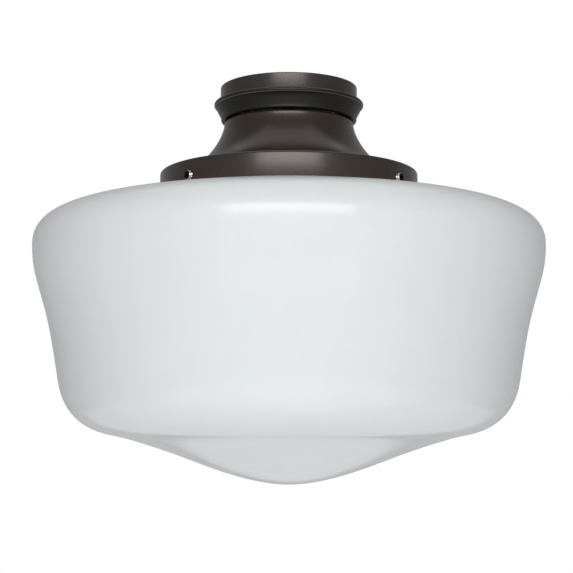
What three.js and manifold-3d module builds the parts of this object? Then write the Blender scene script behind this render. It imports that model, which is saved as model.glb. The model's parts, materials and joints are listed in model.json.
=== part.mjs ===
// Schoolhouse light kit of a ceiling fan: an opal glass shade hung from a bronze fitter pan and collar.
// Millimetres, +Z up. The origin is the centre of the collar's top rim, where the kit meets the fan.
import * as THREE from 'three';
import { mergeVertices } from 'three/addons/utils/BufferGeometryUtils.js';
import Module from 'manifold-3d';

const wasm = await Module();
wasm.setup();

// ---------------------------------------------------------------- driving dimensions
const TOUCH = 0.3; // gap left between pieces that touch or fit together

// collar
const COLLAR_R = 42.5; // outer radius of the straight band
const COLLAR_WALL = 1.5;
const COLLAR_HEIGHT = 21.3;
const BAND_HEIGHT = 9.4; // rim down to the bead
const BEAD_STAND = 4.0; // how far the bead stands out of the band
const BEAD_ROUND = 1.6; // radius of the bead's round edge
const CONE_INSET = 1.2; // cone's widest radius inside the bead's
const CONE_DROP = 12.8; // rim down to the top of the cone
const CONE_HEIGHT = 6.1;
const SKIRT_INSET = 0.3; // skirt's radius inside the band's
const SKIRT_WALL = 3.7;
const SKIRT_EDGE_R = 1;
const LEDGE_WIDTH = 8.0; // the ledge inside carries the mounting plate
const LEDGE_DEPTH = 14.9; // top of the ledge, below the rim
const LEDGE_THICKNESS = 1.4;

// mounting plate
const PLATE_THICKNESS = 1.6;
const PLATE_SCREW_R = 1.7;
const KEYHOLE_CIRCLE_R = 25.0;
const KEYHOLE_HEAD_R = 4.2;
const KEYHOLE_SLOT_R = 2.2;
const KEYHOLE_LENGTH = 8.0;

// fitter pan
const PAN_SEAM = 0.5; // open seam between collar and pan
const PAN_WALL = 1.2;
const NECK_INSET = 2.0; // pan's neck inside the collar's skirt
const NECK_EDGE_R = 1.5;
const FLANGE_WIDTH = 7.6; // flat part of the flange, outside the flare
const FLANGE_DROP = 33.0; // pan's top to the flange's top face
const NECK_ROOM = 3.8; // inside of the cup to the glass neck, where the pads sit
const CUP_EDGE_R = 1.5;
const CUP_HEIGHT = 14.8;

// glass shade
const GLASS_WALL = 3.2;
const GLASS_NECK_R = 74.6; // for a 6 inch fitter
const GLASS_NECK_HEIGHT = 12.0;
const GLASS_MAX_R = 156.0;
const GLASS_HEIGHT = 186.9; // neck's top edge to the tip
const GASKET_THICKNESS = 1.4;

// clamp screws that hold the glass neck
const CLAMP_SCREW_R = 3.0;
const CLAMP_SCREW_STAND = 1.5; // how far a screw stands out of the cup
const CLAMP_DROP = 9.9; // flange's top face to the screws' axes
const CLAMP_ANGLES_DEG = [-137.0, -35.6, 93.7]; // about +Z from +X
const PAD_R = 2.6;
const PAD_THICKNESS = 1.0;

// threaded nipple, its nuts and washers
const NIPPLE_R = 4.9; // 1/8 inch pipe thread
const NIPPLE_BORE_R = 3.5;
const NIPPLE_STAND = 2.0; // past each nut
const NUT_FLATS = 15.0;
const NUT_THICKNESS = 3.6;
const WASHER_R = 8.5;
const WASHER_THICKNESS = 1.0;

// socket bracket
const BRACKET_THICKNESS = 1.5;
const BRACKET_WIDTH = 22.0;
const BRACKET_WEB = 28.0;
const BRACKET_DROP = 17.0; // web's underside to the feet's, or more where the flare is low
const BRACKET_SPLAY = 3.0;
const BRACKET_FOOT_MARGIN = 12.5; // foot's end, past the socket's axis

// sockets (medium screw base) and bulbs
const BULB_GAP = 6.0; // between the two bulbs
const SOCKET_WALL = 3.2;
const SOCKET_ROOM = 3.0; // least room above a socket's outer edge, under the flare
const SOCKET_HEIGHT = 36.0;
const BASE_ROOM = 0.8; // bulb's base to the screw shell
const SOCKET_BORE_DEPTH = 29.0;
const SHELL_WALL = 0.5;
const BASE_R = 13.2; // bulb's screw base
const BASE_LENGTH = 23.0;
const BULB_R = 24.0;
const BULB_LENGTH = 88.0; // contact tip to the crown
const SOCKET_SCREW_SPACING = 16.0;
const SOCKET_SCREW_R = 1.5;

// heat shield
const SHIELD_ROOM = 2.4; // shield's edge to the inside of the glass neck
const SHIELD_THICKNESS = 0.8;
const SHIELD_DROP = 5.2; // flange's top face to the shield's top face
const SHIELD_BOLT_OFFSET = 55.0;

// wiring
const WIRE_R = 1.1;
const CONNECTOR_R = 5.5;
const CONNECTOR_LENGTH = 19.0;
const PLUG_SIZE = new THREE.Vector3(14.0, 11.0, 7.0);

// facets round a full turn
const FACETS_LARGE = 40;
const FACETS_MEDIUM = 18;
const FACETS_SMALL = 10;

// ---------------------------------------------------------------- radii and levels that follow
const collarBoreR = COLLAR_R - COLLAR_WALL;
const beadR = COLLAR_R + BEAD_STAND;
const coneR = beadR - CONE_INSET;
const skirtR = COLLAR_R - SKIRT_INSET;
const ledgeR = collarBoreR - LEDGE_WIDTH;
const neckR = skirtR - NECK_INSET;
const cupR = GLASS_NECK_R + NECK_ROOM + PAN_WALL;
const flareR = cupR - FLANGE_WIDTH;
const socketOffset = BULB_R + BULB_GAP / 2;
const socketBoreR = BASE_R + BASE_ROOM + SHELL_WALL + TOUCH;
const socketR = socketBoreR + SOCKET_WALL;
const shieldR = GLASS_NECK_R - GLASS_WALL - SHIELD_ROOM;
const plateTop = -LEDGE_DEPTH + TOUCH + PLATE_THICKNESS;
const panTop = -COLLAR_HEIGHT - PAN_SEAM;
const flangeTop = panTop - FLANGE_DROP;
const cupBottom = flangeTop - CUP_HEIGHT;
const gasketTop = flangeTop - PAN_WALL - TOUCH;
const glassTop = gasketTop - GASKET_THICKNESS - TOUCH;
const shoulderTop = glassTop - GLASS_NECK_HEIGHT;
const bracketTop = panTop - PAN_WALL - TOUCH;
const socketTop = Math.min(
  bracketTop - BRACKET_THICKNESS - BRACKET_DROP - TOUCH,
  levelUnderPan(socketOffset + socketR) - SOCKET_ROOM,
);
const bracketDrop = bracketTop - BRACKET_THICKNESS - TOUCH - socketTop;
const clampLevel = flangeTop - CLAMP_DROP;

// ---------------------------------------------------------------- finishes
const finish = (color, roughness, metalness) => ({ color, roughness, metalness });
const BRONZE = finish(0x45403c, 0.42, 0.75);
const OPAL = finish(0xe6e9ea, 0.15, 0.0);
const STEEL = finish(0x9a9c9e, 0.35, 1.0);
const BLACKENED = finish(0x1c1b1a, 0.4, 0.8);
const PORCELAIN = finish(0xeceae2, 0.3, 0.0);
const BRASS = finish(0xb8924a, 0.3, 1.0);
const NICKEL = finish(0xc8c6c0, 0.25, 1.0);
const FROSTED = finish(0xf3f1ea, 0.35, 0.0);
const RUBBER = finish(0x1a1a1a, 0.8, 0.0);
const NYLON = finish(0xf2f0e8, 0.5, 0.0);
const ALUMINIUM = finish(0xd0d2d4, 0.3, 1.0);
const WIRE_BLACK = finish(0x161616, 0.45, 0.0);
const WIRE_WHITE = finish(0xe9e9e4, 0.45, 0.0);
const PLASTIC_ORANGE = finish(0xd9701e, 0.5, 0.0);

// ---------------------------------------------------------------- solids
// Closed mesh with shared corners, its faces turned outwards.
function closed(geometry) {
  const bare = geometry.clone();
  bare.deleteAttribute('normal');
  bare.deleteAttribute('uv');
  const merged = mergeVertices(bare, 1e-4);
  const places = merged.attributes.position;
  const corners = merged.index.array;
  const kept = [];
  let volume = 0;
  const [a, b, c] = [new THREE.Vector3(), new THREE.Vector3(), new THREE.Vector3()];
  for (let i = 0; i < corners.length; i += 3) {
    const [p, q, r] = [corners[i], corners[i + 1], corners[i + 2]];
    if (p === q || q === r || r === p) continue;
    kept.push(p, q, r);
    a.fromBufferAttribute(places, p);
    b.fromBufferAttribute(places, q);
    c.fromBufferAttribute(places, r);
    volume += a.dot(b.cross(c));
  }
  if (volume < 0) kept.reverse();
  const solid = new THREE.BufferGeometry();
  solid.setAttribute('position', new THREE.BufferAttribute(new Float32Array(places.array), 3));
  solid.setIndex(kept);
  return solid;
}

function toManifold(geometry) {
  const solid = closed(geometry);
  return new wasm.Manifold(new wasm.Mesh({
    numProp: 3,
    vertProperties: new Float32Array(solid.attributes.position.array),
    triVerts: new Uint32Array(solid.index.array),
  }));
}

function fromManifold(manifold) {
  const mesh = manifold.getMesh();
  const solid = new THREE.BufferGeometry();
  solid.setAttribute('position', new THREE.BufferAttribute(new Float32Array(mesh.vertProperties), 3));
  solid.setIndex(Array.from(mesh.triVerts));
  return solid;
}

function cut(geometry, ...tools) {
  let result = toManifold(geometry);
  for (const tool of tools) result = result.subtract(toManifold(tool));
  return fromManifold(result);
}

function join(geometry, ...others) {
  let result = toManifold(geometry);
  for (const other of others) result = result.add(toManifold(other));
  return fromManifold(result);
}

// Turned piece about Z from a closed outline of [radius, z] points.
function turned(outline, facets = FACETS_MEDIUM) {
  const points = outline.map(([r, z]) => new THREE.Vector2(r, z));
  if (outline[0][0] > 0 || outline[outline.length - 1][0] > 0) points.push(points[0].clone());
  return closed(new THREE.LatheGeometry(points, facets).rotateX(Math.PI / 2));
}

// Ring or disc between two radii and two levels.
function ring(innerR, outerR, low, high, facets = FACETS_MEDIUM) {
  if (innerR === 0) return turned([[0, low], [outerR, low], [outerR, high], [0, high]], facets);
  return turned([[innerR, low], [outerR, low], [outerR, high], [innerR, high]], facets);
}

// Flat sheet from a Shape in the XY plane, its top face at the level given.
function sheet(shape, thickness, top, facets = FACETS_SMALL) {
  const options = { depth: thickness, bevelEnabled: false, curveSegments: facets };
  return closed(new THREE.ExtrudeGeometry(shape, options).translate(0, 0, top - thickness));
}

function hexagon(flats) {
  const shape = new THREE.Shape();
  const cornerR = flats / Math.sqrt(3);
  for (let side = 0; side < 6; side += 1) {
    const angle = side * Math.PI / 3;
    const corner = [cornerR * Math.cos(angle), cornerR * Math.sin(angle)];
    if (side === 0) shape.moveTo(...corner);
    else shape.lineTo(...corner);
  }
  shape.closePath();
  return shape;
}

function circlePath(x, y, radius) {
  return new THREE.Path().absarc(x, y, radius, 0, 2 * Math.PI, true);
}

function circleShape(radius) {
  return new THREE.Shape().absarc(0, 0, radius, 0, 2 * Math.PI, false);
}

// Points on an arc of an outline, angles in degrees from +R towards +Z.
function arc(r, z, radius, startDeg, endDeg, steps) {
  const points = [];
  for (let i = 0; i <= steps; i += 1) {
    const angle = THREE.MathUtils.degToRad(startDeg + (endDeg - startDeg) * i / steps);
    points.push([r + radius * Math.cos(angle), z + radius * Math.sin(angle)]);
  }
  return points;
}

// Smooth outline through nodes { r, z, heading (degrees), before, after (handle lengths) }.
function flowing(nodes, steps) {
  const handle = (node, length) => {
    const angle = THREE.MathUtils.degToRad(node.heading);
    return new THREE.Vector2(node.r + length * Math.cos(angle), node.z + length * Math.sin(angle));
  };
  const points = [];
  for (let i = 1; i < nodes.length; i += 1) {
    const [from, to] = [nodes[i - 1], nodes[i]];
    const curve = new THREE.CubicBezierCurve(
      new THREE.Vector2(from.r, from.z), handle(from, from.after),
      handle(to, -to.before), new THREE.Vector2(to.r, to.z),
    );
    for (const point of curve.getPoints(steps).slice(i === 1 ? 0 : 1)) points.push([point.x, point.y]);
  }
  return points;
}

// The same outline moved sideways by a distance, to the right of its direction.
function offset(points, distance) {
  return points.map(([r, z], i) => {
    const [r0, z0] = points[Math.max(i - 1, 0)];
    const [r1, z1] = points[Math.min(i + 1, points.length - 1)];
    const length = Math.hypot(r1 - r0, z1 - z0);
    return [r + distance * (z1 - z0) / length, z - distance * (r1 - r0) / length];
  });
}

// Wire of round section along a smooth curve through points.
function wire(points, steps) {
  const knots = points.map((point) => new THREE.Vector3(...point));
  const curve = new THREE.CatmullRomCurve3(knots, false, 'centripetal');
  const section = new THREE.Shape();
  for (let side = 0; side < 8; side += 1) {
    const angle = (side + 0.5) * Math.PI / 4;
    const corner = [WIRE_R * Math.cos(angle), WIRE_R * Math.sin(angle)];
    if (side === 0) section.moveTo(...corner);
    else section.lineTo(...corner);
  }
  section.closePath();
  return closed(new THREE.ExtrudeGeometry(section, { steps, extrudePath: curve }));
}

// ---------------------------------------------------------------- the group
const kit = new THREE.Group();

function addPiece(name, geometry, look, parent = kit) {
  const mesh = new THREE.Mesh(geometry, new THREE.MeshStandardMaterial(look));
  mesh.name = name;
  parent.add(mesh);
  return mesh;
}

function placed(x, y, z, turnDeg = 0, parent = kit) {
  const group = new THREE.Group();
  group.position.set(x, y, z);
  group.rotation.z = THREE.MathUtils.degToRad(turnDeg);
  parent.add(group);
  return group;
}

// ---------------------------------------------------------------- collar
const plateScrewCircleR = (ledgeR + collarBoreR) / 2;
const plateScrewAngles = [60, 180, 300];

function polar(radius, angleDeg, z = 0) {
  const angle = THREE.MathUtils.degToRad(angleDeg);
  return [radius * Math.cos(angle), radius * Math.sin(angle), z];
}

function makeCollar() {
  const rimEdge = 0.6;
  const outline = [
    ...arc(COLLAR_R - rimEdge, -rimEdge, rimEdge, 90, 0, 2),
    [COLLAR_R, -BAND_HEIGHT],
    ...arc(beadR - BEAD_ROUND, -BAND_HEIGHT - BEAD_ROUND, BEAD_ROUND, 90, -55, 5),
    [coneR, -CONE_DROP],
    [skirtR, -CONE_DROP - CONE_HEIGHT],
    ...arc(skirtR - SKIRT_EDGE_R, -COLLAR_HEIGHT + SKIRT_EDGE_R, SKIRT_EDGE_R, 0, -90, 2),
    [skirtR - SKIRT_WALL, -COLLAR_HEIGHT],
    [skirtR - SKIRT_WALL, -LEDGE_DEPTH - LEDGE_THICKNESS],
    [ledgeR, -LEDGE_DEPTH - LEDGE_THICKNESS],
    [ledgeR, -LEDGE_DEPTH],
    [collarBoreR, -LEDGE_DEPTH],
    [collarBoreR, 0],
  ];
  const screwHoles = plateScrewAngles.map((angle) => {
    const [x, y] = polar(plateScrewCircleR, angle);
    const under = -LEDGE_DEPTH - LEDGE_THICKNESS - 1;
    const hole = ring(0, PLATE_SCREW_R + TOUCH, under, -LEDGE_DEPTH + 1, FACETS_SMALL);
    return hole.translate(x, y, 0);
  });
  return cut(turned(outline, FACETS_LARGE), ...screwHoles);
}
addPiece('mounting_collar', makeCollar(), BRONZE);

// ---------------------------------------------------------------- mounting plate and its screws
function makePlate() {
  const shape = new THREE.Shape().absarc(0, 0, collarBoreR - TOUCH - 0.2, 0, 2 * Math.PI, false);
  shape.holes.push(circlePath(0, 0, NIPPLE_R + TOUCH));
  for (const angle of plateScrewAngles) {
    const [x, y] = polar(plateScrewCircleR, angle);
    shape.holes.push(circlePath(x, y, PLATE_SCREW_R + TOUCH));
  }
  const keyholes = [0, 120, 240].map((angle) => {
    const head = ring(0, KEYHOLE_HEAD_R, plateTop - PLATE_THICKNESS - 1, plateTop + 1, FACETS_SMALL);
    const end = ring(0, KEYHOLE_SLOT_R, plateTop - PLATE_THICKNESS - 1, plateTop + 1, FACETS_SMALL);
    const slot = closed(new THREE.BoxGeometry(2 * KEYHOLE_SLOT_R, KEYHOLE_LENGTH, PLATE_THICKNESS + 2));
    slot.translate(0, KEYHOLE_LENGTH / 2, plateTop - PLATE_THICKNESS / 2);
    const keyhole = join(head, slot, end.translate(0, KEYHOLE_LENGTH, 0));
    keyhole.translate(KEYHOLE_CIRCLE_R, 0, 0);
    return keyhole.rotateZ(THREE.MathUtils.degToRad(angle));
  });
  return cut(sheet(shape, PLATE_THICKNESS, plateTop, 12), ...keyholes);
}
addPiece('mounting_plate', makePlate(), STEEL);

// Pan-head machine screw along Z, head up, the head's underside at level 0.
function panScrew(shankR, length) {
  const headR = shankR * 1.9;
  const headHeight = shankR * 1.3;
  const body = turned([
    [0, -length], [shankR, -length], [shankR, 0], [headR, 0],
    [headR, headHeight * 0.5], [headR * 0.6, headHeight], [0, headHeight],
  ], FACETS_SMALL);
  const slot = closed(new THREE.BoxGeometry(headR * 2.2, shankR * 0.5, headHeight));
  return cut(body, slot.translate(0, 0, headHeight));
}

plateScrewAngles.forEach((angle, i) => {
  const screw = panScrew(PLATE_SCREW_R, PLATE_THICKNESS + LEDGE_THICKNESS + 1.5);
  screw.rotateZ(i).translate(...polar(plateScrewCircleR, angle, plateTop + TOUCH));
  addPiece(`plate_screw_${i + 1}`, screw, STEEL);
});

// ---------------------------------------------------------------- fitter pan
function neckOutline() {
  return [
    ...arc(neckR - NECK_EDGE_R, panTop - NECK_EDGE_R, NECK_EDGE_R, 90, 0, 3),
    ...flowing([
      { r: neckR, z: panTop - NECK_EDGE_R, heading: -90, before: 0, after: 7.5 },
      { r: flareR, z: flangeTop, heading: 0, before: 19.7, after: 0 },
    ], 6).slice(1),
  ];
}

// Level of the pan's inner face at a radius under the flare.
function levelUnderPan(radius) {
  const inside = [[0, panTop - PAN_WALL], ...offset(neckOutline(), PAN_WALL)];
  const after = inside.findIndex(([r]) => r > radius);
  const [[r0, z0], [r1, z1]] = inside.slice(after - 1, after + 1);
  return z0 + ((z1 - z0) * (radius - r0)) / (r1 - r0);
}

function clampHole(radius, from, to) {
  const hole = ring(0, radius, from, to, FACETS_SMALL);
  return hole.rotateY(Math.PI / 2);
}

function makePan() {
  const neck = neckOutline();
  const inside = offset(neck, PAN_WALL).reverse();
  const outline = [
    [NIPPLE_R + TOUCH, panTop],
    ...neck,
    ...arc(cupR - CUP_EDGE_R, flangeTop - CUP_EDGE_R, CUP_EDGE_R, 90, 0, 3),
    [cupR, cupBottom],
    [cupR - PAN_WALL, cupBottom],
    [cupR - PAN_WALL, flangeTop - PAN_WALL],
    ...inside,
    [NIPPLE_R + TOUCH, panTop - PAN_WALL],
  ];
  const holes = CLAMP_ANGLES_DEG.map((angle) => {
    const hole = clampHole(CLAMP_SCREW_R + TOUCH, cupR - PAN_WALL - 2, cupR + 2);
    return hole.translate(0, 0, clampLevel).rotateZ(THREE.MathUtils.degToRad(angle));
  });
  return cut(turned(outline, FACETS_LARGE), ...holes);
}
addPiece('fitter_pan', makePan(), BRONZE);

// ---------------------------------------------------------------- nipple, nuts and washers
const upperWasherLow = plateTop + TOUCH;
const upperNutLow = upperWasherLow + WASHER_THICKNESS + TOUCH;
const nippleTop = upperNutLow + NUT_THICKNESS + NIPPLE_STAND;
const lowerWasherLow = bracketTop - BRACKET_THICKNESS - TOUCH - WASHER_THICKNESS;
const lowerNutLow = lowerWasherLow - TOUCH - NUT_THICKNESS;
const nippleBottom = lowerNutLow - NIPPLE_STAND;

function hexNut(low) {
  const shape = hexagon(NUT_FLATS);
  shape.holes.push(circlePath(0, 0, NIPPLE_R + TOUCH));
  return sheet(shape, NUT_THICKNESS, low + NUT_THICKNESS, 8);
}
function lockWasher(low) {
  return ring(NIPPLE_R + TOUCH, WASHER_R, low, low + WASHER_THICKNESS);
}
addPiece('threaded_nipple', ring(NIPPLE_BORE_R, NIPPLE_R, nippleBottom, nippleTop), STEEL);
addPiece('upper_lock_washer', lockWasher(upperWasherLow), STEEL);
addPiece('upper_locknut', hexNut(upperNutLow), BRASS);
addPiece('lower_lock_washer', lockWasher(lowerWasherLow), STEEL);
addPiece('lower_locknut', hexNut(lowerNutLow), BRASS);

// ---------------------------------------------------------------- socket bracket
function makeBracket() {
  const half = BRACKET_WEB / 2;
  const footEnd = socketOffset + BRACKET_FOOT_MARGIN;
  const t = BRACKET_THICKNESS;
  const top = bracketTop;
  const footTop = top - bracketDrop;
  const right = [
    [half, top], [half + BRACKET_SPLAY, footTop], [footEnd, footTop],
    [footEnd, footTop - t], [half + BRACKET_SPLAY - t, footTop - t], [half - t, top - t],
  ];
  const outline = [...right, ...right.map(([x, z]) => [-x, z]).reverse()];
  const shape = new THREE.Shape(outline.map(([x, z]) => new THREE.Vector2(x, z)));
  const strap = new THREE.ExtrudeGeometry(shape, { depth: BRACKET_WIDTH, bevelEnabled: false });
  strap.rotateX(Math.PI / 2).translate(0, BRACKET_WIDTH / 2, 0);
  const tools = [ring(0, NIPPLE_R + TOUCH, top - 2 * t, top + t, FACETS_MEDIUM)];
  for (const [x, y] of socketScrewPlaces()) {
    const hole = ring(0, SOCKET_SCREW_R + TOUCH, footTop - 2 * t, footTop + t, FACETS_SMALL);
    tools.push(hole.translate(x, y, 0));
  }
  return cut(closed(strap), ...tools);
}

function socketScrewPlaces() {
  const places = [];
  for (const side of [-1, 1]) {
    for (const end of [-1, 1]) places.push([side * socketOffset, end * SOCKET_SCREW_SPACING / 2]);
  }
  return places;
}
addPiece('socket_bracket', makeBracket(), STEEL);

// ---------------------------------------------------------------- sockets
const boreTop = -SOCKET_HEIGHT + SOCKET_BORE_DEPTH; // levels inside a socket, its top face at 0
const socketScrewDepth = 5.0;

function makeSocketBody() {
  const rim = 2.0;
  const outline = [
    [0, 0], [socketR - rim, 0], [socketR - rim, -6], [socketR, -8], [socketR, -SOCKET_HEIGHT + rim],
    [socketR - rim / 2, -SOCKET_HEIGHT], [socketBoreR, -SOCKET_HEIGHT], [socketBoreR, boreTop], [0, boreTop],
  ];
  const tools = [-1, 1].map((end) => {
    const hole = ring(0, SOCKET_SCREW_R + TOUCH, -socketScrewDepth - TOUCH, 1, FACETS_SMALL);
    return hole.translate(0, end * SOCKET_SCREW_SPACING / 2, 0);
  });
  return cut(turned(outline), ...tools);
}

function makeScrewShell() {
  const outerR = socketBoreR - TOUCH;
  const innerR = outerR - SHELL_WALL;
  const low = -SOCKET_HEIGHT + 4;
  const high = boreTop - TOUCH;
  const contactR = 5.0;
  return turned([
    [innerR, low], [outerR, low], [outerR, high], [contactR, high], [contactR, high - SHELL_WALL],
    [innerR, high - SHELL_WALL],
  ]);
}

function makeContact() {
  const high = boreTop - TOUCH;
  return turned([
    [0, high - 2.4], [2.2, high - 2.0], [3.6, high - 0.8], [3.6, high], [0, high],
  ], FACETS_SMALL);
}

// ---------------------------------------------------------------- bulbs
// Levels in a bulb, its contact tip at 0.
const tipHeight = 1.6;

function makeBulbTip() {
  return turned([[0, 0], [2.6, -0.5], [4.2, -tipHeight + TOUCH], [0, -tipHeight + TOUCH]], FACETS_SMALL);
}

function makeBulbBase() {
  const outline = [[0, -tipHeight], [5, -tipHeight], [9.5, -tipHeight - 2.4]];
  const threads = 5;
  const pitch = 3.6;
  const threadTop = -tipHeight - 3.2;
  for (let i = 0; i < threads; i += 1) {
    outline.push([BASE_R - 0.9, threadTop - i * pitch], [BASE_R, threadTop - (i + 0.5) * pitch]);
  }
  outline.push([BASE_R - 0.9, -BASE_LENGTH + TOUCH], [0, -BASE_LENGTH + TOUCH]);
  return turned(outline);
}

function makeBulbGlass() {
  const globeZ = -BULB_LENGTH + BULB_R;
  const outline = [
    [0, -BASE_LENGTH],
    ...flowing([
      { r: BASE_R - 0.6, z: -BASE_LENGTH, heading: -90, before: 0, after: 6 },
      { r: BULB_R, z: globeZ, heading: -90, before: 22, after: 0 },
    ], 6),
    ...arc(0, globeZ, BULB_R, -10, -90, 6).map(([r, z], i, all) => (i === all.length - 1 ? [0, z] : [r, z])),
  ];
  return turned(outline);
}

const bulbSeat = socketTop + boreTop - 2.4 - 2 * TOUCH; // level of a bulb's contact tip

[-1, 1].forEach((side, i) => {
  const number = i + 1;
  const socket = placed(side * socketOffset, 0, socketTop);
  addPiece(`socket_body_${number}`, makeSocketBody(), PORCELAIN, socket);
  addPiece(`screw_shell_${number}`, makeScrewShell(), BRASS, socket);
  addPiece(`centre_contact_${number}`, makeContact(), BRASS, socket);
  const bulb = placed(side * socketOffset, 0, bulbSeat);
  addPiece(`bulb_tip_${number}`, makeBulbTip(), NICKEL, bulb);
  addPiece(`bulb_base_${number}`, makeBulbBase(), NICKEL, bulb);
  addPiece(`bulb_glass_${number}`, makeBulbGlass(), FROSTED, bulb);
});

socketScrewPlaces().forEach(([x, y], i) => {
  const screw = panScrew(SOCKET_SCREW_R, BRACKET_THICKNESS + TOUCH + socketScrewDepth);
  const headLevel = bracketTop - bracketDrop + TOUCH;
  addPiece(`socket_screw_${i + 1}`, screw.translate(x, y, headLevel), STEEL);
});

// ---------------------------------------------------------------- heat shield
const shieldTop = flangeTop - SHIELD_DROP;
const shieldHoleR = socketR + 1.0;

function makeShield() {
  const shape = circleShape(shieldR);
  for (const side of [-1, 1]) shape.holes.push(circlePath(side * socketOffset, 0, shieldHoleR));
  for (const side of [-1, 1]) {
    shape.holes.push(circlePath(0, side * SHIELD_BOLT_OFFSET, SOCKET_SCREW_R + TOUCH));
  }
  return sheet(shape, SHIELD_THICKNESS, shieldTop, 12);
}
addPiece('heat_shield', makeShield(), ALUMINIUM);

// Everything above the pan's underside, less a touching gap.
function abovePanInside() {
  const gap = PAN_WALL + TOUCH;
  return turned([
    [0, panTop - gap], ...offset(neckOutline(), gap),
    [cupR, flangeTop - gap], [cupR, panTop + 1], [0, panTop + 1],
  ], FACETS_LARGE);
}

// Studs welded under the flange carry the shield, and a screw from below holds it on each stud.
[-1, 1].forEach((side, i) => {
  const number = i + 1;
  const place = side * SHIELD_BOLT_OFFSET;
  const blank = ring(0, 3.5, shieldTop + TOUCH, panTop, FACETS_SMALL);
  const bore = ring(0, SOCKET_SCREW_R + TOUCH, shieldTop - 1, shieldTop + 5, FACETS_SMALL);
  const stud = cut(blank.translate(0, place, 0), bore.translate(0, place, 0), abovePanInside());
  addPiece(`shield_stud_${number}`, stud, STEEL);
  const screw = panScrew(SOCKET_SCREW_R, SHIELD_THICKNESS + 2 * TOUCH + 3.5).rotateX(Math.PI);
  const headLevel = shieldTop - SHIELD_THICKNESS - TOUCH;
  addPiece(`shield_screw_${number}`, screw.translate(0, place, headLevel), STEEL);
});

// ---------------------------------------------------------------- glass shade and gasket
function shadeOutline() {
  const top = shoulderTop;
  const scale = (GLASS_HEIGHT - GLASS_NECK_HEIGHT) / 174.9;
  const at = (r, drop, heading, before, after) => ({ r, z: top - drop * scale, heading, before, after });
  return flowing([
    at(GLASS_NECK_R, -1.6, -90, 0, 1.2),
    at(GLASS_NECK_R + 2.4, 0.2, -3, 1.4, 15),
    at(GLASS_MAX_R - 26.4, 8.7, -9.9, 14.8, 16.5),
    at(GLASS_MAX_R, 30.5, -90, 12.1, 13.0),
    at(GLASS_MAX_R - 7.25, 67.0, -106.5, 19.2, 17.5),
    at(GLASS_MAX_R - 16.6, 113.5, -100, 10.7, 21.4),
    at(GLASS_MAX_R - 49.1, 145.2, 190.6, 15.0, 11.2),
    at((GLASS_MAX_R - 49.1) * 0.557, 160.2, 201, 17.8, 19.5),
    at(0, 174.9, 180, 19.8, 0),
  ], 3);
}

function makeShade() {
  const outside = shadeOutline();
  const inside = offset(outside, GLASS_WALL).reverse();
  outside[outside.length - 1][0] = 0;
  inside[0][0] = 0;
  const outline = [
    ...outside.reverse(),
    ...arc(GLASS_NECK_R - 1, glassTop - 1, 1, 0, 90, 2),
    ...arc(GLASS_NECK_R - GLASS_WALL + 1, glassTop - 1, 1, 90, 180, 2),
    ...inside.reverse(),
  ];
  return turned(outline, FACETS_LARGE);
}
addPiece('glass_shade', makeShade(), OPAL);
addPiece('glass_gasket', ring(GLASS_NECK_R - 6, cupR - PAN_WALL - 1, gasketTop - GASKET_THICKNESS, gasketTop,
  FACETS_LARGE), RUBBER);

// ---------------------------------------------------------------- clamp screws and pads
CLAMP_ANGLES_DEG.forEach((angle, i) => {
  const number = i + 1;
  const place = placed(0, 0, clampLevel, angle);
  const padFace = GLASS_NECK_R + TOUCH;
  const padBack = padFace + PAD_THICKNESS;
  const pad = clampHole(PAD_R, padFace, padBack);
  addPiece(`clamp_pad_${number}`, pad, NYLON, place);
  const outerEnd = cupR + CLAMP_SCREW_STAND;
  const chamfer = 0.5;
  const body = turned([
    [0, padBack + TOUCH], [CLAMP_SCREW_R - chamfer, padBack + TOUCH],
    [CLAMP_SCREW_R, padBack + TOUCH + chamfer],
    [CLAMP_SCREW_R, outerEnd - chamfer], [CLAMP_SCREW_R - chamfer, outerEnd], [0, outerEnd],
  ], FACETS_SMALL);
  const socket = sheet(hexagon(3.0), 2.2, outerEnd + 0.2);
  addPiece(`clamp_screw_${number}`, cut(body, socket).rotateY(Math.PI / 2), BLACKENED, place);
});

// ---------------------------------------------------------------- wiring
const connectorX = 0;
const connectorY = 25.0;
const connectorTop = bracketTop - 13.0;
const wireSpread = 2.0; // each wire's distance from the connector's axis

function makeConnector() {
  return turned([
    [0, 0], [CONNECTOR_R, 0], [CONNECTOR_R, -4], [CONNECTOR_R - 1, -CONNECTOR_LENGTH * 0.45],
    [CONNECTOR_R - 2.2, -CONNECTOR_LENGTH + 1.5],
    [CONNECTOR_R - 3.4, -CONNECTOR_LENGTH], [0, -CONNECTOR_LENGTH],
  ]);
}

const poles = [
  { pole: 'black', side: -1, look: WIRE_BLACK },
  { pole: 'white', side: 1, look: WIRE_WHITE },
];

const plugCentre = new THREE.Vector3(0, 26, plateTop + TOUCH + PLUG_SIZE.z / 2);
const plugNear = plugCentre.y - PLUG_SIZE.y / 2;

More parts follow.
